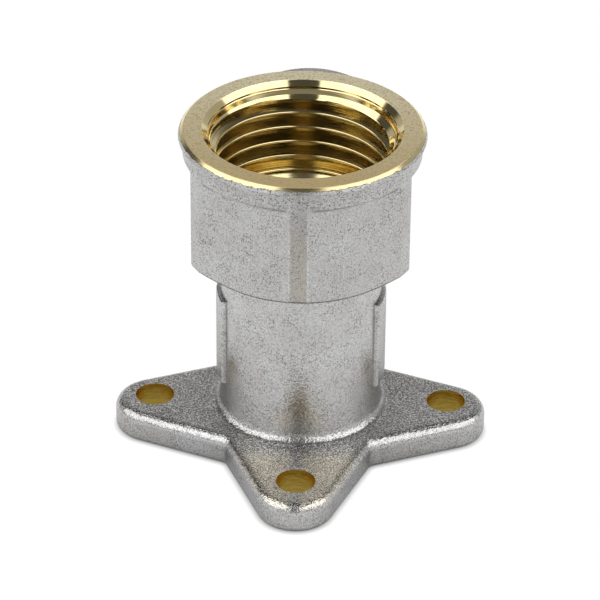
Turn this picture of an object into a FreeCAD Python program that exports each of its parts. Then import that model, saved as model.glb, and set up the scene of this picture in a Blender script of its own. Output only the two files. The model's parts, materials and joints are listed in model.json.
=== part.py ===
# Wall plate elbow, one forged and machined brass piece, in millimetres, +Z up.
# The origin lies on the neck's axis, in the plane of the plate's wall side.
# The top socket opens upward, the rear socket opens along +Y, the front lobe points along -Y.

import FreeCAD, Part
import math
import os

# Wall plate
plate_thickness = 3.5
hole_distance = 16.5
hole_diameter = 4.3
lobe_tip_radius = 4.4
lobe_half_taper = math.radians(22.5)
foot_disc_radius = 11.7
plate_forward = 0.45
plate_inner_corner = 1.0
plate_top_edge = 1.2
plate_lower_edge = 0.6

# Waterway
neck_bore_radius = 6.6
branch_bore_radius = 6.3

# Neck
neck_wall = 2.4
neck_length = 19.9
neck_foot_fillet = 1.2
neck_top_fillet = 0.7

# Raised side pads
pad_rise = 0.47
pad_half_width = 3.65
pad_height = 10.7
pad_gap_above_plate = 4.1
pad_edge = 0.3

# Socket interior, with the bore left at the root of the pipe thread
thread_root_radius = 10.48
mouth_chamfer_depth = 0.5
socket_depth = 12.0
seat_cone_depth = 1.5

# Hexagon and round collar of the top socket
head_height = 15.1
rim_face_width = 1.97
collar_lip_width = 0.41
collar_lip_depth = 0.35
collar_shoulder_width = 0.14
collar_shoulder_depth = 0.3
collar_band_height = 0.1
collar_taper_height = 1.25
collar_waist_height = 0.85
collar_waist_depth = 0.45
collar_sweep_radius = 1.5
collar_lower_edge = 0.35
undercut_angle = math.radians(25.0)
hexagon_wall = 1.38
corner_setback = 0.3
corner_edge = 0.5
hexagon_foot_setback = 0.15
hexagon_foot_angle = math.radians(32.0)
hexagon_lower_edge = 0.35

# Rear branch
branch_rise = 9.9
branch_length = 38.5
barrel_wall = 2.1
branch_fillet = 1.2
rear_socket_wall = 1.57
rear_socket_length = 13.6
rear_shoulder_length = 3.0
rear_shoulder_edge = 1.5
rear_lip_depth = 0.5
web_half_width = 5.0
web_edge = 1.5

# Sizes that follow from the ones above
neck_radius = neck_bore_radius + neck_wall
hexagon_foot = plate_thickness + neck_length
socket_height = hexagon_foot + head_height
hexagon_half_width = thread_root_radius + hexagon_wall
rim_radius = thread_root_radius + mouth_chamfer_depth + rim_face_width
lip_radius = rim_radius + collar_lip_width
collar_radius = lip_radius + collar_shoulder_width
hexagon_corner_radius = collar_radius - corner_setback
collar_waist_radius = collar_radius - collar_waist_depth
lip_foot = socket_height - collar_lip_depth
collar_band_top = lip_foot - collar_shoulder_depth
collar_band_foot = collar_band_top - collar_band_height
collar_waist_top = collar_band_foot - collar_taper_height
collar_foot = collar_waist_top - collar_waist_height
branch_height = plate_thickness + branch_rise
barrel_radius = branch_bore_radius + barrel_wall
rear_socket_radius = thread_root_radius + rear_socket_wall

# How far a solid runs into its neighbour, or a cutter past the face that it opens
overlap = 1.0

# How near two places have to be to count as one
tolerance = 1e-3

up = FreeCAD.Vector(0, 0, 1)
back = FreeCAD.Vector(0, 1, 0)
origin = FreeCAD.Vector(0, 0, 0)
lobe_directions = (180, 0, 270)
pad_directions = (0, 180)


def point(x, y, z=0.0):
    return FreeCAD.Vector(x, y, z)


def revolved(profile):
    """Solid of revolution about Z from corners given as (radius, height)."""
    corners = [point(radius, 0, height) for radius, height in profile]
    wire = Part.makePolygon(corners + corners[:1])
    return Part.Face(wire).revolve(origin, up, 360)


def toward_back(shape):
    """Turn a shape built along +Z so that it lies along the rear branch."""
    shape.rotate(origin, FreeCAD.Vector(1, 0, 0), -90)
    shape.translate(point(0, 0, branch_height))
    return shape


def edges_where(shape, test):
    """Edges between two faces that pass the test."""
    borders = [edge for edge in shape.Edges if len(shape.ancestorsOfType(edge, Part.Face)) == 2]
    return [edge for edge in borders if test(edge)]


def same(first, second):
    return abs(first - second) < tolerance


def lies_at(edge, height):
    box = edge.BoundBox
    return same(box.ZMin, height) and same(box.ZMax, height)


def is_upright(edge):
    box = edge.BoundBox
    return same(box.XMin, box.XMax) and same(box.YMin, box.YMax)


def middle(edge):
    return edge.valueAt((edge.FirstParameter + edge.LastParameter) / 2)


def from_axis(place):
    return math.hypot(place.x, place.y)


def lobe(direction):
    """One tapered ear of the plate, round at its tip."""
    across = lobe_tip_radius * math.cos(lobe_half_taper)
    along = hole_distance + lobe_tip_radius * math.sin(lobe_half_taper)
    root = across + along * math.tan(lobe_half_taper)
    tip = point(hole_distance + lobe_tip_radius, 0)
    edges = [
        Part.makeLine(point(0, -root), point(along, -across)),
        Part.Arc(point(along, -across), tip, point(along, across)).toShape(),
        Part.makeLine(point(along, across), point(0, root)),
        Part.makeLine(point(0, root), point(0, -root)),
    ]
    solid = Part.Face(Part.Wire(edges)).extrude(up * plate_thickness)
    solid.rotate(origin, up, direction)
    return solid


def is_inner_corner(edge):
    """Upright plate edge where two lobes, or a lobe and the foot disc, meet."""
    return is_upright(edge) and from_axis(middle(edge)) < hole_distance


def wall_plate():
    """Three-lobed plate on a round foot, with softened edges."""
    foot = Part.makeCylinder(foot_disc_radius, plate_thickness)
    plate = foot.fuse([lobe(direction) for direction in lobe_directions]).removeSplitter()
    plate = plate.makeFillet(plate_inner_corner, edges_where(plate, is_inner_corner))
    top_edges = edges_where(plate, lambda edge: lies_at(edge, plate_thickness))
    plate = plate.makeFillet(plate_top_edge, top_edges)
    lower_edges = edges_where(plate, lambda edge: lies_at(edge, 0))
    plate = plate.makeFillet(plate_lower_edge, lower_edges)
    plate.translate(point(0, -plate_forward))
    return plate


def rear_socket():
    """Round socket that ends the rear branch, with a sloping shoulder."""
    start = branch_length - rear_socket_length
    shape = revolved([
        (0, start - rear_shoulder_length),
        (barrel_radius - overlap, start - rear_shoulder_length),
        (rear_socket_radius, start),
        (rear_socket_radius, branch_length - rear_lip_depth),
        (rear_socket_radius - rear_lip_depth, branch_length),
        (0, branch_length),
    ])
    shape = shape.makeFillet(rear_shoulder_edge, edges_where(shape, lambda edge: lies_at(edge, start)))
    return toward_back(shape)


def is_barrel_end(edge):
    """Edge where the barrel leaves the neck or meets the shoulder of the rear socket."""
    place = middle(edge)
    on_barrel = same(math.hypot(place.x, place.z - branch_height), barrel_radius)
    on_neck = same(from_axis(place), neck_radius)
    on_shoulder = same(edge.BoundBox.YMin, edge.BoundBox.YMax) and place.y > neck_radius
    return on_barrel and (on_neck or on_shoulder)


def trunk():
    """Plain neck with the rear branch growing out of it."""
    neck = Part.makeCylinder(neck_radius, neck_length + 2 * overlap, up * (plate_thickness - overlap))
    barrel_end = branch_length - rear_socket_length
    barrel = Part.makeCylinder(barrel_radius, barrel_end, up * branch_height, back)
    joined = neck.fuse([barrel, rear_socket()])
    return joined.makeFillet(branch_fillet, edges_where(joined, is_barrel_end))


def neck_ring(height, radius, upward):
    """Concave fillet ring between the neck and the flat face at the given height."""
    side = 1 if upward else -1
    outer = neck_radius + radius
    inner = neck_radius - overlap
    bulge = radius * (1 - math.sqrt(0.5))
    far = height + side * radius
    buried = height - side * overlap
    edges = [
        Part.makeLine(point(inner, 0, buried), point(outer, 0, buried)),
        Part.makeLine(point(outer, 0, buried), point(outer, 0, height)),
        Part.Arc(
            point(outer, 0, height),
            point(neck_radius + bulge, 0, height + side * bulge),
            point(neck_radius, 0, far),
        ).toShape(),
        Part.makeLine(point(neck_radius, 0, far), point(inner, 0, far)),
        Part.makeLine(point(inner, 0, far), point(inner, 0, buried)),
    ]
    return Part.Face(Part.Wire(edges)).revolve(origin, up, 360)


def is_outer_pad_edge(edge):
    return all(same(from_axis(vertex.Point), neck_radius + pad_rise) for vertex in edge.Vertexes)


def side_pad(direction):
    """Raised pad that follows the neck's curve, with rounded outer edges."""
    lower = plate_thickness + pad_gap_above_plate
    radius = neck_radius + pad_rise
    drum = Part.makeCylinder(radius, pad_height, up * lower)
    strip = Part.makeBox(radius + overlap, 2 * pad_half_width, pad_height, point(0, -pad_half_width, lower))
    core = Part.makeCylinder(neck_radius - overlap, pad_height, up * lower)
    pad = drum.common(strip).cut(core)
    pad = pad.makeFillet(pad_edge, edges_where(pad, is_outer_pad_edge))
    pad.rotate(origin, up, direction)
    return pad


def is_corner_edge(edge):
    return is_upright(edge) and from_axis(middle(edge)) > hexagon_half_width


def is_lower_edge(edge):
    """Edge of the hexagon's sides that lies above the foot face and below the collar."""
    return edge.BoundBox.ZMin > hexagon_foot + tolerance and edge.BoundBox.ZMax < collar_foot


def hexagon():
    """Six flats on a turned blank, with the corners taken off round the foot."""
    foot_radius = hexagon_half_width - hexagon_foot_setback
    corner_rise = (hexagon_corner_radius - foot_radius) * math.tan(hexagon_foot_angle)
    shape = revolved([
        (0, hexagon_foot),
        (foot_radius, hexagon_foot),
        (hexagon_corner_radius, hexagon_foot + corner_rise),
        (hexagon_corner_radius, collar_band_foot),
        (0, collar_band_foot),
    ])
    side = 2 * hexagon_corner_radius
    outside = Part.makeBox(side, side, head_height, point(hexagon_half_width, -side / 2, hexagon_foot))
    for turn in range(0, 360, 60):
        turned = outside.copy()
        turned.rotate(origin, up, turn)
        shape = shape.cut(turned)
    shape = shape.makeFillet(corner_edge, edges_where(shape, is_corner_edge))
    return shape.makeFillet(hexagon_lower_edge, edges_where(shape, is_lower_edge))


def round_collar():
    """Collar with a turned lip, tapering to a waist that overhangs the flats."""
    inner_radius = hexagon_half_width - overlap
    undercut_drop = (collar_waist_radius - inner_radius) * math.tan(undercut_angle)
    shape = revolved([
        (0, collar_foot - undercut_drop),
        (inner_radius, collar_foot - undercut_drop),
        (collar_waist_radius, collar_foot),
        (collar_waist_radius, collar_waist_top),
        (collar_radius, collar_band_foot),
        (collar_radius, collar_band_top),
        (lip_radius, lip_foot),
        (rim_radius, socket_height),
        (0, socket_height),
    ])
    waist_top = edges_where(shape, lambda edge: lies_at(edge, collar_waist_top))
    shape = shape.makeFillet(collar_sweep_radius, waist_top)
    lower_edge = edges_where(shape, lambda edge: lies_at(edge, collar_foot))
    return shape.makeFillet(collar_lower_edge, lower_edge)


def socket_hollow(mouth, bore_radius, bottom):
    """Threaded socket and the narrower bore behind it, both opening at the mouth."""
    seat = mouth - socket_depth
    return revolved([
        (0, bottom),
        (bore_radius, bottom),
        (bore_radius, seat),
        (thread_root_radius - seat_cone_depth, seat),
        (thread_root_radius, seat + seat_cone_depth),
        (thread_root_radius, mouth - mouth_chamfer_depth),
        (thread_root_radius + mouth_chamfer_depth, mouth),
        (thread_root_radius + mouth_chamfer_depth, mouth + overlap),
        (0, mouth + overlap),
    ])


def screw_hole(direction):
    """Plain hole through the middle of one lobe."""
    depth = plate_thickness + 2 * overlap
    hole = Part.makeCylinder(hole_diameter / 2, depth, point(hole_distance, 0, -overlap))
    hole.rotate(origin, up, direction)
    return hole


def web():
    """Block that fills the gap between the foot and the barrel above it."""
    reach = foot_disc_radius - plate_forward - plate_top_edge
    height = branch_height - overlap
    block = Part.makeBox(2 * web_half_width, reach, height, point(-web_half_width, 0, overlap))
    rear_edges = edges_where(block, lambda edge: is_upright(edge) and same(middle(edge).y, reach))
    return block.makeFillet(web_edge, rear_edges)


def elbow():
    foot_ring = neck_ring(plate_thickness, neck_foot_fillet, True)
    crown_ring = neck_ring(hexagon_foot, neck_top_fillet, False)
    pads = [side_pad(direction) for direction in pad_directions]
    body = wall_plate().fuse([trunk(), foot_ring, crown_ring, hexagon(), round_collar(), web()] + pads)
    body = body.cut(socket_hollow(socket_height, neck_bore_radius, branch_height - neck_bore_radius))
    body = body.cut(toward_back(socket_hollow(branch_length, branch_bore_radius, 0)))
    return body.cut([screw_hole(direction) for direction in lobe_directions])


os.makedirs("parts", exist_ok=True)
elbow().exportStep("parts/elbow_body.step")
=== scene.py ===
# Wall plate elbow: plated and machined finish, pipe threads, floor, light and camera.
# Lengths are in metres unless a name ends in _mm, and shader coordinates are in millimetres.

import json
import math

import bmesh
import bpy
from mathutils import Matrix, Vector


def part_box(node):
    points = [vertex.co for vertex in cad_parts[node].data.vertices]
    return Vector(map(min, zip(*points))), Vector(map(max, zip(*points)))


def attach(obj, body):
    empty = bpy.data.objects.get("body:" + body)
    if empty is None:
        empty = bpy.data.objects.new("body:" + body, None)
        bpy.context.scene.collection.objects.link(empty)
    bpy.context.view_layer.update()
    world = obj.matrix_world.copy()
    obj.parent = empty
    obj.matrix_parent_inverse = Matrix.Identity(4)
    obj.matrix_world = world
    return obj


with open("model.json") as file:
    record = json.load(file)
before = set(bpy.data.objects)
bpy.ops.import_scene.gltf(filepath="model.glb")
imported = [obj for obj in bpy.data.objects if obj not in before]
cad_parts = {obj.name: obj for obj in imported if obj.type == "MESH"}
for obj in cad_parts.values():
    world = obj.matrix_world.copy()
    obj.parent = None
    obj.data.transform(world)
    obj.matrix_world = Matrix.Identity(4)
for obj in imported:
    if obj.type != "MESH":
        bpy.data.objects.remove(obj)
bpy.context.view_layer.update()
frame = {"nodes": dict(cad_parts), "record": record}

mm = 0.001

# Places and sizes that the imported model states
mounts = {mount["name"]: mount for mount in frame["record"]["mounts"]}
thread_root_mm = mounts["top_socket"]["dims"]["r_mm"]
hole_radius_mm = mounts["front_screw_hole"]["dims"]["r_mm"]
hole_distance_mm = mounts["side_screw_holes"]["dims"]["spacing_x_mm"] / 2
rear_axis_mm = mounts["rear_socket"]["pos_m"][2] / mm
high_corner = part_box("elbow_body")[1]
top_mouth_mm = high_corner.z / mm
rear_mouth_mm = high_corner.y / mm

# Half inch parallel pipe thread, cut right-handed
thread_pitch_mm = 25.4 / 14
thread_crest_mm = 18.631 / 2
thread_flank = math.radians(27.5)
crest_round_mm = 0.15
ridge_embed_mm = 0.3
lead_in_depth_mm = 1.07
thread_end_depth_mm = 11.6
thread_fade_mm = 0.6
back_crest_depth_mm = 3.35
crest_parts = 5
flank_parts = 7
steps_per_turn = 120

# Pieces turn sharp where their faces meet at more than this
sharp_angle = math.radians(20)

# Stepped entry of each socket, as (radius in from the thread's root, depth below the mouth)
entry_step_mm = (
    (-0.3, 0.45),
    (0.0, 0.5),
    (0.08, 0.58),
    (0.07, 0.80),
    (0.15, 0.88),
    (0.33, 1.40),
    (-0.3, 2.20),
)

# Where the bare brass stops
bare_lip_mm = 0.33
bare_edge_mm = 0.04
ragged_edge_mm = 0.06
socket_depth_mm = 12.0
socket_margin_mm = 0.3
mouth_chamfer_mm = 0.5
neck_bore_mm = 6.6
branch_bore_mm = 6.3
bore_margin_mm = 0.4
hole_margin_mm = 0.05

# Zones of the bare brass, and how rough and how deeply lined they are
sockets_divide_mm = thread_root_mm + 6.0
rim_skin_mm = 0.05
rim_reach_mm = 12.5
lip_start_mm = thread_root_mm + mouth_chamfer_mm + 1.9
entry_zone_mm = 2.2
lines_across_per_mm = 4.0
lines_along_per_mm = 5.0
thread_roughness = (0.12, 0.20)
entry_roughness = (0.06, 0.11)
rim_roughness = 0.24
lip_roughness = 0.1
drilled_roughness = 0.3
thread_line_depth = 0.4
entry_line_depth = 0.08

# Lines of the forging that the finish follows
plate_top_mm = 3.5
hexagon_foot_mm = 23.4
hexagon_foot_radius_mm = 11.71
foot_angle = math.radians(32.0)
crease_mm = 35.65
crease_radius_mm = 13.05
undercut_angle = math.radians(25.0)
head_radius_mm = crease_radius_mm + 1.0

# Front corner of the hexagon, with a brown tint, painted dark reflection and painted highlight lines, and
# front lobe of the plate, which is stained
corner_front_mm = -11.0
corner_half_width_mm = 0.9
corner_line_mm = 1.0
lobe_front_mm = -11.5
lobe_middle_mm = 0.6

# Low neck, which is hammered: its middle, half its height and how far out its rougher sides start
low_neck_mm = 7.5
low_neck_reach_mm = 3.0
low_neck_side_mm = 6.0

# How rough the plating is, and by how much the head and the low neck are rougher
nickel_roughness = (0.16, 0.24)
rougher_by = 0.16

# How far from an inner corner the plating is painted darker as shade, and up to what height
crevice_reach_mm = 0.7
crevice_top_mm = 17.4

# Colours of the bare brass, the screw holes and the plating
brass_pale = (0.81, 0.69, 0.385, 1.0)
brass_deep = (0.71, 0.58, 0.28, 1.0)
# Rim top colours: painted shading, paler at the back and deeper toward the front
rim_back_sheen = (0.99, 0.90, 0.63, 1.0)
rim_front_shade = (0.74, 0.57, 0.28, 1.0)
rim_fleck = (0.55, 0.43, 0.22, 1.0)
drilled_brass = (0.92, 0.67, 0.14, 1.0)
drilled_shade = (0.42, 0.27, 0.05, 1.0)
nickel_light = (0.65, 0.65, 0.655, 1.0)
nickel_dull = (0.59, 0.58, 0.565, 1.0)
# Dark colour of pits, also used for painted shade
nickel_pit_and_shade = (0.15, 0.145, 0.135, 1.0)
# Painted highlight colour for glints and the corner's highlight lines, then the corner's brown tint with
# painted dark reflection
nickel_glint = (0.95, 0.94, 0.92, 1.0)
corner_tint_and_shade = (0.48, 0.40, 0.29, 1.0)
thin_plate_tint = (0.88, 0.77, 0.57, 1.0)

# Bump heights of the body and of the threads
body_bump_mm = 0.03
thread_bump_mm = 0.05

# Ranges of a noise that a ramp spreads out
wide_range = (0.3, 0.7)
middle_range = (0.35, 0.65)
sharp_range = (0.4, 0.6)

# Floor, with its brightness and shadow for the camera
floor_size = 6.0
floor_drop = 0.00005
floor_grey = (0.82, 0.82, 0.82, 1.0)
glow_share = 0.93
contact_reach_mm = 0.6
contact_power = 0.6
contact_level = 1.04

# Floor in reflections: its wide shadow, its dim front and the light seen through the screw holes
tabletop_reach_mm = 25.0
tabletop_power = 1.5
tabletop_level = 1.12
dim_front = (-0.16, -0.03)
dim_sides = (0.015, 0.09)
dim_share = 0.75
hole_light_level = 0.3

# Light of the room, placed by the direction seen from the object, as parts of a unit vector
back_wall_half_width = 0.46
back_wall_levels = (0.10, 0.76)
low_wall_top = 0.28
low_wall_levels = (0.30, 0.6)
right_wall_start = 0.5
right_wall_front = 0.25
right_wall_top = 0.55
right_wall_level = 0.55
horizon_top = 0.12

# Two soft boxes beside a gap, with a slanted top edge
softbox_level = 2.4
softbox_gap = 0.22
softbox_foot = 0.25
softbox_back = 0.31
softbox_slant = (-0.476, 0.61, 0.514)
softbox_top = 0.2

# Camera fitted to the photograph
camera_target = Vector((-0.000130, 0.0, 0.016519))
camera_distance = 0.37914
camera_elevation = math.radians(32.062)
camera_azimuth = math.radians(1.50)
camera_roll = math.radians(0.52)
camera_lens = 204.19
camera_sensor = 36.0


class Graph:
    """Short calls that add nodes to one node tree."""

    def __init__(self, tree):
        self.tree = tree
        tree.nodes.clear()

    def node(self, kind, **settings):
        made = self.tree.nodes.new(kind)
        for key, value in settings.items():
            setattr(made, key, value)
        return made

    def feed(self, socket, value):
        if isinstance(value, bpy.types.NodeSocket):
            self.tree.links.new(value, socket)
        else:
            socket.default_value = value

    def math(self, operation, *values, clamp=False):
        made = self.node("ShaderNodeMath", operation=operation, use_clamp=clamp)
        for socket, value in zip(made.inputs, values):
            self.feed(socket, value)
        return made.outputs[0]

    def most(self, values):
        total = values[0]
        for value in values[1:]:
            total = self.math("MAXIMUM", total, value)
        return total

    def both(self, first, second):
        return self.math("MULTIPLY", first, second)

    def above(self, value, limit, blur):
        """0 below the limit and 1 above it, with a ramp as wide as the blur."""
        made = self.node("ShaderNodeMapRange", interpolation_type="SMOOTHSTEP")
        self.feed(made.inputs["Value"], value)
        self.feed(made.inputs["From Min"], limit - blur / 2)
        self.feed(made.inputs["From Max"], limit + blur / 2)
        return made.outputs[0]

    def below(self, value, limit, blur):
        return self.math("SUBTRACT", 1.0, self.above(value, limit, blur))

    def near(self, value, middle, reach, blur):
        """1 within reach of the middle and 0 further off."""
        return self.below(self.math("ABSOLUTE", self.math("SUBTRACT", value, middle)), reach, blur)

    def span(self, value, low, high, to_low, to_high):
        """Straight ramp from one range of numbers to another, held at its ends."""
        made = self.node("ShaderNodeMapRange")
        for name, number in zip(("From Min", "From Max", "To Min", "To Max"), (low, high, to_low, to_high)):
            self.feed(made.inputs[name], number)
        self.feed(made.inputs["Value"], value)
        return made.outputs[0]

    def length(self, first, second):
        squares = self.math("ADD", self.both(first, first), self.both(second, second))
        return self.math("SQRT", squares)

    def noise(self, place, scale, detail=2.0, roughness=0.5):
        made = self.node("ShaderNodeTexNoise")
        self.feed(made.inputs["Vector"], place)
        self.feed(made.inputs["Scale"], scale)
        self.feed(made.inputs["Detail"], detail)
        self.feed(made.inputs["Roughness"], roughness)
        return made.outputs[0]

    def specks(self, place, scale, radius, share):
        """1 inside small round specks, one in each cell for the given share of cells."""
        made = self.node("ShaderNodeTexVoronoi")
        self.feed(made.inputs["Vector"], place)
        self.feed(made.inputs["Scale"], scale)
        chosen = self.node("ShaderNodeSeparateColor")
        self.feed(chosen.inputs[0], made.outputs["Color"])
        round_spot = self.below(made.outputs["Distance"], radius, blur=0.2)
        return self.both(round_spot, self.below(chosen.outputs[0], share, blur=0.1))

    def mix(self, factor, first, second):
        """Mix of two colours."""
        made = self.node("ShaderNodeMix", data_type="RGBA")
        self.feed(made.inputs["Factor"], factor)
        self.feed(made.inputs[6], first)
        self.feed(made.inputs[7], second)
        return made.outputs[2]

    def blend(self, factor, first, second):
        """Mix of two numbers."""
        made = self.node("ShaderNodeMix", data_type="FLOAT")
        self.feed(made.inputs["Factor"], factor)
        self.feed(made.inputs[2], first)
        self.feed(made.inputs[3], second)
        return made.outputs[0]

    def combine(self, x, y, z):
        made = self.node("ShaderNodeCombineXYZ")
        for socket, value in zip(made.inputs, (x, y, z)):
            self.feed(socket, value)
        return made.outputs[0]

    def bump(self, height, depth_mm):
        made = self.node("ShaderNodeBump")
        self.feed(made.inputs["Height"], height)
        self.feed(made.inputs["Distance"], depth_mm * mm)
        return made.outputs[0]


class Place:
    """Position on the object in millimetres, with the distances that the finish depends on."""

    def __init__(self, graph):
        coordinates = graph.node("ShaderNodeTexCoord").outputs["Object"]
        scaled = graph.node("ShaderNodeVectorMath", operation="SCALE")
        graph.feed(scaled.inputs[0], coordinates)
        graph.feed(scaled.inputs["Scale"], 1 / mm)
        self.vector = scaled.outputs[0]
        split = graph.node("ShaderNodeSeparateXYZ")
        graph.feed(split.inputs[0], self.vector)
        self.x, self.y, self.z = split.outputs
        self.from_neck = graph.length(self.x, self.y)
        self.above_branch = graph.math("SUBTRACT", self.z, rear_axis_mm)
        self.from_branch = graph.length(self.x, self.above_branch)


def new_material(name):
    material = bpy.data.materials.new(name)
    material.use_nodes = True
    return material, Graph(material.node_tree)


def close_material(graph, color, roughness, normal):
    """One metal surface shader, linked to the material's output."""
    surface = graph.node("ShaderNodeBsdfPrincipled")
    surface.inputs["Metallic"].default_value = 1.0
    graph.feed(surface.inputs["Base Color"], color)
    graph.feed(surface.inputs["Roughness"], roughness)
    graph.feed(surface.inputs["Normal"], normal)
    output = graph.node("ShaderNodeOutputMaterial")
    graph.feed(output.inputs["Surface"], surface.outputs[0])


def tool_lines(graph, radius, depth, across, along):
    """Fine lines that a turning tool leaves along a thread, for a socket about one axis."""
    turn = graph.math("ARCTAN2", graph.both(across, -1.0), along)
    follow = graph.math("SUBTRACT", depth, graph.both(turn, thread_pitch_mm / (2 * math.pi)))
    lines_across = graph.both(radius, lines_across_per_mm)
    lines_along = graph.both(follow, lines_along_per_mm)
    return graph.noise(graph.combine(lines_across, 0.0, lines_along), scale=1.0, detail=1.0, roughness=0.6)


def turned_brass(graph, place):
    """Colour, roughness and height of bare brass with fine tool lines."""
    top_lines = tool_lines(graph, place.from_neck, place.z, place.x, place.y)
    down = graph.both(place.above_branch, -1.0)
    rear_lines = tool_lines(graph, place.from_branch, place.y, place.x, down)
    lines = graph.blend(graph.above(place.y, sockets_divide_mm, blur=1.0), top_lines, rear_lines)
    cloud = graph.noise(place.vector, scale=0.5, detail=3.0)
    flecks = graph.noise(place.vector, scale=5.0, detail=2.0)
    rim = graph.above(place.z, top_mouth_mm - rim_skin_mm, blur=0.06)
    lip = graph.above(place.from_neck, lip_start_mm, blur=0.1)
    entry = graph.above(place.z, top_mouth_mm - entry_zone_mm, blur=0.3)
    color = graph.mix(graph.span(cloud, *wide_range, 0.0, 0.6), brass_pale, brass_deep)
    # Painted shading: the rim's top is painted paler at the back and deeper toward the front
    front_shading_share = graph.span(place.y, -rim_reach_mm, rim_reach_mm, 1.0, 0.0)
    rim_color = graph.mix(front_shading_share, rim_back_sheen, rim_front_shade)
    rim_color = graph.mix(graph.span(flecks, 0.5, 0.7, 0.0, 0.9), rim_color, rim_fleck)
    color = graph.mix(rim, color, rim_color)
    thread_rough = graph.span(lines, *wide_range, *thread_roughness)
    entry_rough = graph.span(lines, *wide_range, *entry_roughness)
    polished = graph.blend(entry, thread_rough, entry_rough)
    matte = graph.math("ADD", graph.both(rim, rim_roughness), graph.both(lip, lip_roughness))
    height = graph.both(lines, graph.blend(entry, thread_line_depth, entry_line_depth))
    return color, graph.math("ADD", polished, matte), height


def corner_tint_and_painted_light(graph, place, base, grain, on_head):
    """Colour of the hexagon's front corner: a strip with a brown tint and painted dark reflection, and
    painted highlight lines along its edges.
    """
    sideways = graph.math("ABSOLUTE", place.x)
    under_crease = graph.below(place.z, crease_mm - 2.5, blur=5.0)
    corner = graph.below(place.y, corner_front_mm, blur=0.6)
    corner = graph.both(corner, graph.both(on_head, under_crease))
    strip = graph.both(corner, graph.below(sideways, corner_half_width_mm, blur=0.7))
    # Brown tint with painted dark reflection on the corner strip
    color = graph.mix(graph.both(strip, graph.span(grain, *sharp_range, 0.1, 0.6)), base, corner_tint_and_shade)
    # Painted highlight lines along the corner's edges
    corner_highlight = graph.both(corner, graph.near(sideways, corner_line_mm, reach=0.06, blur=0.1))
    return graph.mix(graph.both(corner_highlight, 0.2), color, nickel_glint)


def lobe_stain(graph, place, base, grain):
    """Colour with the thin plating on the front lobe's top, on both sides of its middle."""
    sideways = graph.math("ABSOLUTE", place.x)
    lobe = graph.both(
        graph.below(place.y, lobe_front_mm, blur=3.0),
        graph.above(sideways, lobe_middle_mm, blur=1.2),
    )
    lobe = graph.both(lobe, graph.above(place.z, plate_top_mm - 0.5, blur=0.5))
    lobe = graph.both(lobe, graph.below(place.z, plate_top_mm + 1.0, blur=1.0))
    return graph.mix(graph.both(lobe, graph.span(grain, *sharp_range, 0.1, 0.8)), base, thin_plate_tint)


def painted_edge_shade(graph, place, on_head):
    """Painted shade along the crease under the collar and along the edge of the hexagon's foot: how dark
    each is.
    """
    undercut_slope = math.tan(undercut_angle)
    under_collar = graph.math("SUBTRACT", place.z, graph.both(place.from_neck, undercut_slope))
    crease_line = crease_mm - crease_radius_mm * undercut_slope - 0.08
    crease = graph.near(under_collar, crease_line, reach=0.12, blur=0.3)
    crease = graph.both(crease, graph.below(place.from_neck, crease_radius_mm - 0.1, blur=0.3))
    foot_slope = math.tan(foot_angle)
    over_foot = graph.math("SUBTRACT", place.z, graph.both(place.from_neck, foot_slope))
    foot_line = hexagon_foot_mm - hexagon_foot_radius_mm * foot_slope + 0.16
    edge = graph.below(over_foot, foot_line, blur=0.2)
    edge = graph.both(edge, graph.above(place.from_neck, hexagon_foot_radius_mm - 0.4, blur=0.2))
    edge = graph.both(edge, graph.below(place.from_neck, head_radius_mm, blur=0.5))
    # Painted shade, strongest in the crease under the collar
    return graph.math("MAXIMUM", graph.both(crease, 0.7), graph.both(graph.both(edge, on_head), 0.65))


def tints_and_painted_light(graph, place, base, grain):
    """Nickel colour with the lobe's stain, the corner's brown tint, painted dark reflection and painted
    highlight lines, and painted shade along the crease and the hexagon's foot.
    """
    on_head = graph.above(place.z, hexagon_foot_mm - 1.0, blur=1.0)
    color = corner_tint_and_painted_light(graph, place, base, grain, on_head)
    color = lobe_stain(graph, place, color, grain)
    # Painted shade along the crease and the hexagon's foot, in the dark pit colour
    return graph.mix(painted_edge_shade(graph, place, on_head), color, nickel_pit_and_shade)


def nickel_relief(graph, place, grain, pits, plate_top):
    """Height of the plating: fine grain with pits, over a forging that is hammered low down."""
    coarse = graph.noise(place.vector, scale=2.2, detail=2.0)
    low_zone = graph.both(
        graph.above(place.z, plate_top_mm - 1.3, blur=1.0),
        graph.below(place.z, low_neck_mm, blur=5.0),
    )
    hammered = graph.both(coarse, graph.blend(low_zone, 1.0, 2.5))
    pitted = graph.math("SUBTRACT", grain, graph.both(pits, 0.5))
    fine = graph.both(pitted, graph.blend(plate_top, 0.4, 1.3))
    return graph.math("ADD", hammered, fine)


def nickel_rough(graph, place, grain):
    """Roughness of the plating, higher on the head and on the low neck's sides."""
    head = graph.both(
        graph.above(place.z, hexagon_foot_mm, blur=1.0),
        graph.below(place.from_neck, head_radius_mm, blur=0.5),
    )
    low_sides = graph.both(
        graph.near(place.z, low_neck_mm, low_neck_reach_mm, blur=2.0),
        graph.above(graph.math("ABSOLUTE", place.x), low_neck_side_mm, blur=2.0),
    )
    rougher = graph.both(graph.math("MAXIMUM", head, low_sides), rougher_by)
    return graph.math("ADD", graph.span(grain, *wide_range, *nickel_roughness), rougher)


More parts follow.
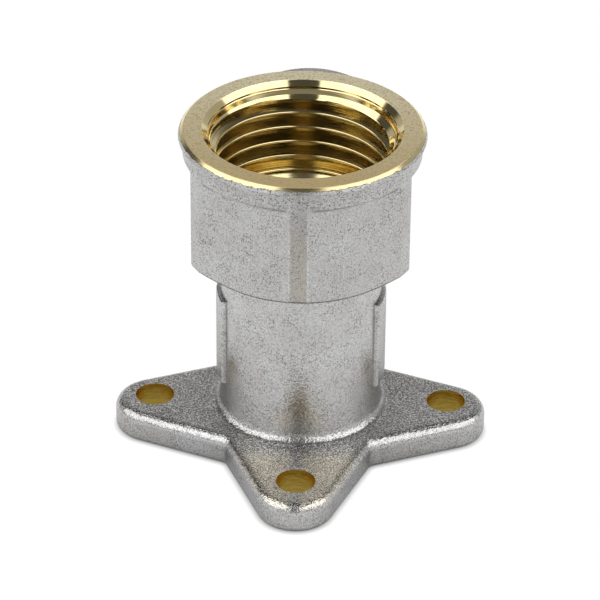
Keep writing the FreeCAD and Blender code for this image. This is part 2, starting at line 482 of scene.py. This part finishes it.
def blasted_nickel(graph, place):
    """Colour, roughness and height of shot-blasted nickel plate over a forging, with painted glints on the
    plate's top and painted shade near inner corners.
    """
    grain = graph.noise(place.vector, scale=8.0, detail=1.0)
    cloud = graph.noise(place.vector, scale=0.25, detail=3.0)
    patches = graph.noise(place.vector, scale=0.45, detail=2.0)
    plate_grain = graph.noise(place.vector, scale=5.2, detail=1.0)
    long_pits = graph.above(graph.noise(place.vector, scale=6.5, detail=1.0), 0.59, blur=0.10)
    round_pits = graph.specks(place.vector, scale=5.0, radius=0.42, share=0.35)
    pits = graph.math("MAXIMUM", graph.both(long_pits, 0.6), round_pits)
    plate_top = graph.near(place.z, plate_top_mm, reach=0.12, blur=0.1)
    base = graph.mix(graph.span(cloud, *middle_range, 0.0, 1.0), nickel_light, nickel_dull)
    base = graph.mix(graph.span(grain, *wide_range, 0.5, 0.0), base, nickel_pit_and_shade)
    # Painted glints: a speckle of painted highlight and dark pits on the plate's top
    glints = graph.mix(graph.span(plate_grain, 0.38, 0.62, 0.0, 1.0), nickel_pit_and_shade, nickel_glint)
    base = graph.mix(graph.both(plate_top, 0.75), base, glints)
    # Stain and tint, with painted reflection, painted highlights and painted shade
    base = tints_and_painted_light(graph, place, base, grain)
    on_collar = graph.above(place.z, crease_mm, blur=1.0)
    dense = graph.math("MAXIMUM", graph.span(patches, *middle_range, 0.35, 0.95), on_collar)
    base = graph.mix(graph.both(pits, dense), base, nickel_pit_and_shade)
    # Painted shade: the plating is darkened by ambient occlusion near inner corners, below the pads' tops
    crevice = graph.node("ShaderNodeAmbientOcclusion", samples=4, only_local=True)
    graph.feed(crevice.inputs["Distance"], crevice_reach_mm * mm)
    painted_crevice_shade = graph.span(crevice.outputs["AO"], 0.4, 0.95, 0.8, 0.0)
    painted_crevice_shade = graph.both(painted_crevice_shade, graph.below(place.z, crevice_top_mm, blur=0.8))
    color = graph.mix(painted_crevice_shade, base, nickel_pit_and_shade)
    relief = nickel_relief(graph, place, grain, pits, plate_top)
    return color, nickel_rough(graph, place, grain), relief


def bare_brass(graph, place):
    """1 where turning has cut through the plating: rims, sockets and waterway."""
    noise = graph.noise(place.vector, scale=1.4, detail=3.0)
    ragged = graph.span(noise, *wide_range, -ragged_edge_mm, ragged_edge_mm)
    mouth_mm = thread_root_mm + 2 * mouth_chamfer_mm
    seat_depth_mm = socket_depth_mm + socket_margin_mm
    neck_end_mm = rear_axis_mm - neck_bore_mm - bore_margin_mm
    zones = [
        graph.above(graph.math("ADD", place.z, ragged), top_mouth_mm - bare_lip_mm, bare_edge_mm),
        graph.above(graph.math("ADD", place.y, ragged), rear_mouth_mm - bare_lip_mm, bare_edge_mm),
    ]
    bored = (
        (place.from_neck, mouth_mm, place.z, top_mouth_mm - seat_depth_mm),
        (place.from_branch, mouth_mm, place.y, rear_mouth_mm - seat_depth_mm),
        (place.from_neck, neck_bore_mm + bore_margin_mm, place.z, neck_end_mm),
        (place.from_branch, branch_bore_mm + bore_margin_mm, place.y, 0.0),
    )
    for from_axis, radius, along, end in bored:
        within = graph.below(from_axis, radius, bare_edge_mm)
        zones.append(graph.both(within, graph.above(along, end, bare_edge_mm)))
    return graph.most(zones)


def drilled_holes(graph, place):
    """1 inside the three screw holes."""
    holes = []
    for x, y in ((-hole_distance_mm, 0.0), (hole_distance_mm, 0.0), (0.0, -hole_distance_mm)):
        away = graph.length(graph.math("SUBTRACT", place.x, x), graph.math("SUBTRACT", place.y, y))
        holes.append(graph.below(away, hole_radius_mm + hole_margin_mm, blur=0.06))
    return graph.most(holes)


def drilled_color(graph, place):
    """Brass of the screw holes, with painted shade darker toward the top, and uneven rings."""
    rings = graph.combine(graph.both(place.x, 0.8), graph.both(place.y, 0.8), graph.both(place.z, 5.0))
    turns = graph.span(graph.noise(rings, scale=1.0, detail=2.0), *middle_range, -0.25, 0.25)
    # Painted shade: darker toward the hole's top edge
    shade = graph.math("ADD", graph.span(place.z, 1.0, plate_top_mm, 0.0, 0.75), turns, clamp=True)
    return graph.mix(shade, drilled_brass, drilled_shade)


def plated_body_material():
    material, graph = new_material("nickel_plated_brass")
    place = Place(graph)
    plate_color, plate_rough, plate_height = blasted_nickel(graph, place)
    brass_color, brass_rough, brass_height = turned_brass(graph, place)
    bare = bare_brass(graph, place)
    drilled = drilled_holes(graph, place)
    color = graph.mix(bare, plate_color, brass_color)
    color = graph.mix(drilled, color, drilled_color(graph, place))
    roughness = graph.blend(drilled, graph.blend(bare, plate_rough, brass_rough), drilled_roughness)
    height = graph.blend(bare, plate_height, brass_height)
    close_material(graph, color, roughness, graph.bump(height, body_bump_mm))
    return material


def thread_material():
    material, graph = new_material("cut_brass")
    place = Place(graph)
    color, roughness, height = turned_brass(graph, place)
    close_material(graph, color, roughness, graph.bump(height, thread_bump_mm))
    return material


def ridge_section():
    """Corners of the thread's ridge, as (along the axis, in from the root) in millimetres."""
    centre = thread_root_mm - thread_crest_mm - crest_round_mm
    half = []
    for part in range(crest_parts):
        turn = (math.pi / 2 - thread_flank) * (part + 0.5) / (crest_parts - 0.5)
        half.append((crest_round_mm * math.sin(turn), centre + crest_round_mm * math.cos(turn)))
    shoulder, depth = half[-1]
    base = shoulder + depth * math.tan(thread_flank)
    for part in range(1, flank_parts + 1):
        share = part / flank_parts
        half.append((shoulder + (base - shoulder) * share, depth * (1 - share)))
    half.append((base, -ridge_embed_mm))
    return [(-along, inward) for along, inward in reversed(half)] + half


def finish_piece(name, mesh, material):
    """Turn a built mesh into a shaded piece that rides on the body."""
    bmesh.ops.recalc_face_normals(mesh, faces=mesh.faces)
    data = bpy.data.meshes.new(name)
    mesh.to_mesh(data)
    mesh.free()
    data.materials.append(material)
    data.shade_smooth()
    data.set_sharp_from_angle(angle=sharp_angle)
    piece = bpy.data.objects.new(name, data)
    bpy.context.collection.objects.link(piece)
    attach(piece, "root")


def round_point(mouth, radius_mm, angle, height_mm):
    """Point on a circle about a socket's axis, at a height over its mouth."""
    spot = Vector((radius_mm * math.cos(angle), radius_mm * math.sin(angle), height_mm)) * mm
    return mouth @ spot


def join_rings(mesh, pairs):
    """Faces between the two rings of each pair."""
    for first, second in pairs:
        size = len(first)
        for corner in range(size):
            after = (corner + 1) % size
            mesh.faces.new((first[corner], first[after], second[after], second[corner]))


def thread_ridge(name, mouth, first_crest_depth_mm, material):
    """Helical ridge that stands on a socket's wall, ending in its lead-in and above its seat."""
    section = ridge_section()
    start = -thread_end_depth_mm - thread_pitch_mm / 2
    stop = -lead_in_depth_mm + thread_pitch_mm / 2
    count = int(steps_per_turn * (stop - start) / thread_pitch_mm)
    phase = math.pi / 2 + 2 * math.pi * (start + first_crest_depth_mm) / thread_pitch_mm
    mesh = bmesh.new()
    rings = []
    for step in range(count + 1):
        angle = phase + 2 * math.pi * step / steps_per_turn
        middle = start + thread_pitch_mm * step / steps_per_turn
        ring = []
        for along, depth in section:
            height = middle + along
            lead_in = -lead_in_depth_mm - height
            fade = (thread_root_mm - thread_crest_mm) * (height + thread_end_depth_mm) / thread_fade_mm
            inward = max(-ridge_embed_mm, min(depth, lead_in, fade))
            height = min(height, -lead_in_depth_mm + ridge_embed_mm)
            radius = thread_root_mm - inward
            ring.append(mesh.verts.new(round_point(mouth, radius, angle, height)))
        rings.append(ring)
    join_rings(mesh, zip(rings, rings[1:]))
    mesh.faces.new(rings[0])
    mesh.faces.new(reversed(rings[-1]))
    finish_piece(name, mesh, material)


def entry_ring(name, mouth, material):
    """Turned step between a socket's mouth and its first thread."""
    mesh = bmesh.new()
    rings = []
    for step in range(steps_per_turn):
        angle = 2 * math.pi * step / steps_per_turn
        ring = []
        for inward, depth in entry_step_mm:
            radius = thread_root_mm - inward
            ring.append(mesh.verts.new(round_point(mouth, radius, angle, -depth)))
        rings.append(ring)
    join_rings(mesh, zip(rings, rings[1:] + rings[:1]))
    finish_piece(name, mesh, material)


def shadow(graph, reach_mm, power):
    """Darkening of the floor near the object: 1 in the open and less beside it."""
    made = graph.node("ShaderNodeAmbientOcclusion", samples=6)
    graph.feed(made.inputs["Distance"], reach_mm * mm)
    return graph.math("POWER", made.outputs["AO"], power)


def white_floor():
    """Floor that is white to the camera, with a narrow shadow, and in reflections, with a wide one.

    In reflections it also dims toward the front, and under the screw holes.
    """
    bpy.ops.mesh.primitive_plane_add(size=floor_size, location=(0.0, 0.0, -floor_drop))
    floor = bpy.context.object
    floor.name = "floor"
    material, graph = new_material("floor_white")
    matte = graph.node("ShaderNodeBsdfDiffuse")
    matte.inputs["Color"].default_value = floor_grey
    split = graph.node("ShaderNodeSeparateXYZ")
    graph.feed(split.inputs[0], graph.node("ShaderNodeTexCoord").outputs["Object"])
    x, y = split.outputs[:2]
    front = graph.span(y, *dim_front, 1.0, 0.0)
    middle = graph.span(graph.math("ABSOLUTE", x), *dim_sides, 1.0, 0.0)
    dimmed = graph.math("SUBTRACT", 1.0, graph.both(graph.both(front, middle), dim_share))
    wide_shadow = shadow(graph, tabletop_reach_mm, tabletop_power)
    tabletop = graph.both(wide_shadow, graph.both(dimmed, tabletop_level))
    tabletop = graph.blend(drilled_holes(graph, Place(graph)), tabletop, hole_light_level)
    contact = graph.both(shadow(graph, contact_reach_mm, contact_power), contact_level)
    path = graph.node("ShaderNodeLightPath").outputs
    shown = graph.most([path["Is Camera Ray"], path["Is Glossy Ray"], path["Is Transmission Ray"]])
    glow = graph.node("ShaderNodeEmission")
    graph.feed(glow.inputs["Strength"], graph.blend(path["Is Camera Ray"], tabletop, contact))
    mixed = graph.node("ShaderNodeMixShader")
    graph.feed(mixed.inputs[0], graph.both(shown, glow_share))
    graph.feed(mixed.inputs[1], matte.outputs[0])
    graph.feed(mixed.inputs[2], glow.outputs[0])
    output = graph.node("ShaderNodeOutputMaterial")
    graph.feed(output.inputs["Surface"], mixed.outputs[0])
    floor.data.materials.append(material)


def room_level(graph, x, y, z):
    """Brightness of the dim room: a wall behind, a low wall all round and one on the right."""
    narrow = graph.below(graph.math("ABSOLUTE", x), back_wall_half_width, blur=0.1)
    behind = graph.span(graph.both(y, narrow), 0.45, 0.85, *back_wall_levels)
    low = graph.both(graph.below(z, low_wall_top, blur=0.12), graph.span(y, -0.5, 0.2, *low_wall_levels))
    right = graph.above(x, right_wall_start, blur=0.2)
    right = graph.both(right, graph.above(y, right_wall_front, blur=0.1))
    right = graph.both(right, graph.below(z, right_wall_top, blur=0.1))
    return graph.most([behind, low, graph.both(right, right_wall_level)])


def softboxes(graph, x, y, z):
    """1 inside the two soft boxes."""
    sideways = graph.math("ABSOLUTE", x)
    past_gap = graph.above(sideways, softbox_gap, blur=0.04)
    across, along, upward = softbox_slant
    slant = graph.math("ADD", graph.both(y, along), graph.both(z, upward))
    slant = graph.math("ADD", slant, graph.both(sideways, across))
    under_top = graph.below(slant, softbox_top, blur=0.1)
    lifted = graph.both(graph.above(z, softbox_foot, blur=0.1), graph.below(y, softbox_back, blur=0.06))
    return graph.both(past_gap, graph.both(lifted, under_top))


def studio_world():
    """Dim room with a white horizon and two tall soft boxes."""
    world = bpy.data.worlds.new("studio")
    bpy.context.scene.world = world
    world.use_nodes = True
    graph = Graph(world.node_tree)
    direction = graph.node("ShaderNodeTexCoord").outputs["Generated"]
    split = graph.node("ShaderNodeSeparateXYZ")
    graph.feed(split.inputs[0], direction)
    x, y, z = split.outputs
    level = graph.blend(softboxes(graph, x, y, z), room_level(graph, x, y, z), softbox_level)
    horizon = graph.below(z, horizon_top, blur=0.04)
    light = graph.node("ShaderNodeBackground")
    graph.feed(light.inputs["Strength"], graph.math("MAXIMUM", level, horizon))
    output = graph.node("ShaderNodeOutputWorld")
    graph.feed(output.inputs["Surface"], light.outputs[0])


def photo_camera():
    lift = math.cos(camera_elevation)
    backward = Vector((
        math.sin(camera_azimuth) * lift,
        -math.cos(camera_azimuth) * lift,
        math.sin(camera_elevation),
    ))
    right = (-backward).cross(Vector((0.0, 0.0, 1.0))).normalized()
    upward = right.cross(-backward)
    rolled_right = right * math.cos(camera_roll) + upward * math.sin(camera_roll)
    rolled_up = upward * math.cos(camera_roll) - right * math.sin(camera_roll)
    data = bpy.data.cameras.new("photo_camera")
    data.sensor_width = camera_sensor
    data.lens = camera_lens
    data.clip_start = 0.01
    camera = bpy.data.objects.new("photo_camera", data)
    turn = Matrix((rolled_right, rolled_up, backward)).transposed().to_4x4()
    camera.matrix_world = Matrix.Translation(camera_target + backward * camera_distance) @ turn
    bpy.context.collection.objects.link(camera)
    bpy.context.scene.camera = camera


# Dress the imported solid
body = frame["nodes"]["elbow_body"]
body.data.materials.clear()
body.data.materials.append(plated_body_material())

# Threads, with the top one's crest as high at the back as in the photograph
cut_brass = thread_material()
top_place = Matrix.Translation((0.0, 0.0, top_mouth_mm * mm))
rear_turn = Matrix.Rotation(-math.pi / 2, 4, "X")
rear_place = Matrix.Translation((0.0, rear_mouth_mm * mm, rear_axis_mm * mm)) @ rear_turn
for name, place in (("top", top_place), ("rear", rear_place)):
    thread_ridge(name + "_thread", place, back_crest_depth_mm, cut_brass)
    entry_ring(name + "_entry", place, cut_brass)

# Stage
white_floor()
studio_world()
photo_camera()
bpy.context.scene.view_settings.view_transform = "Standard"
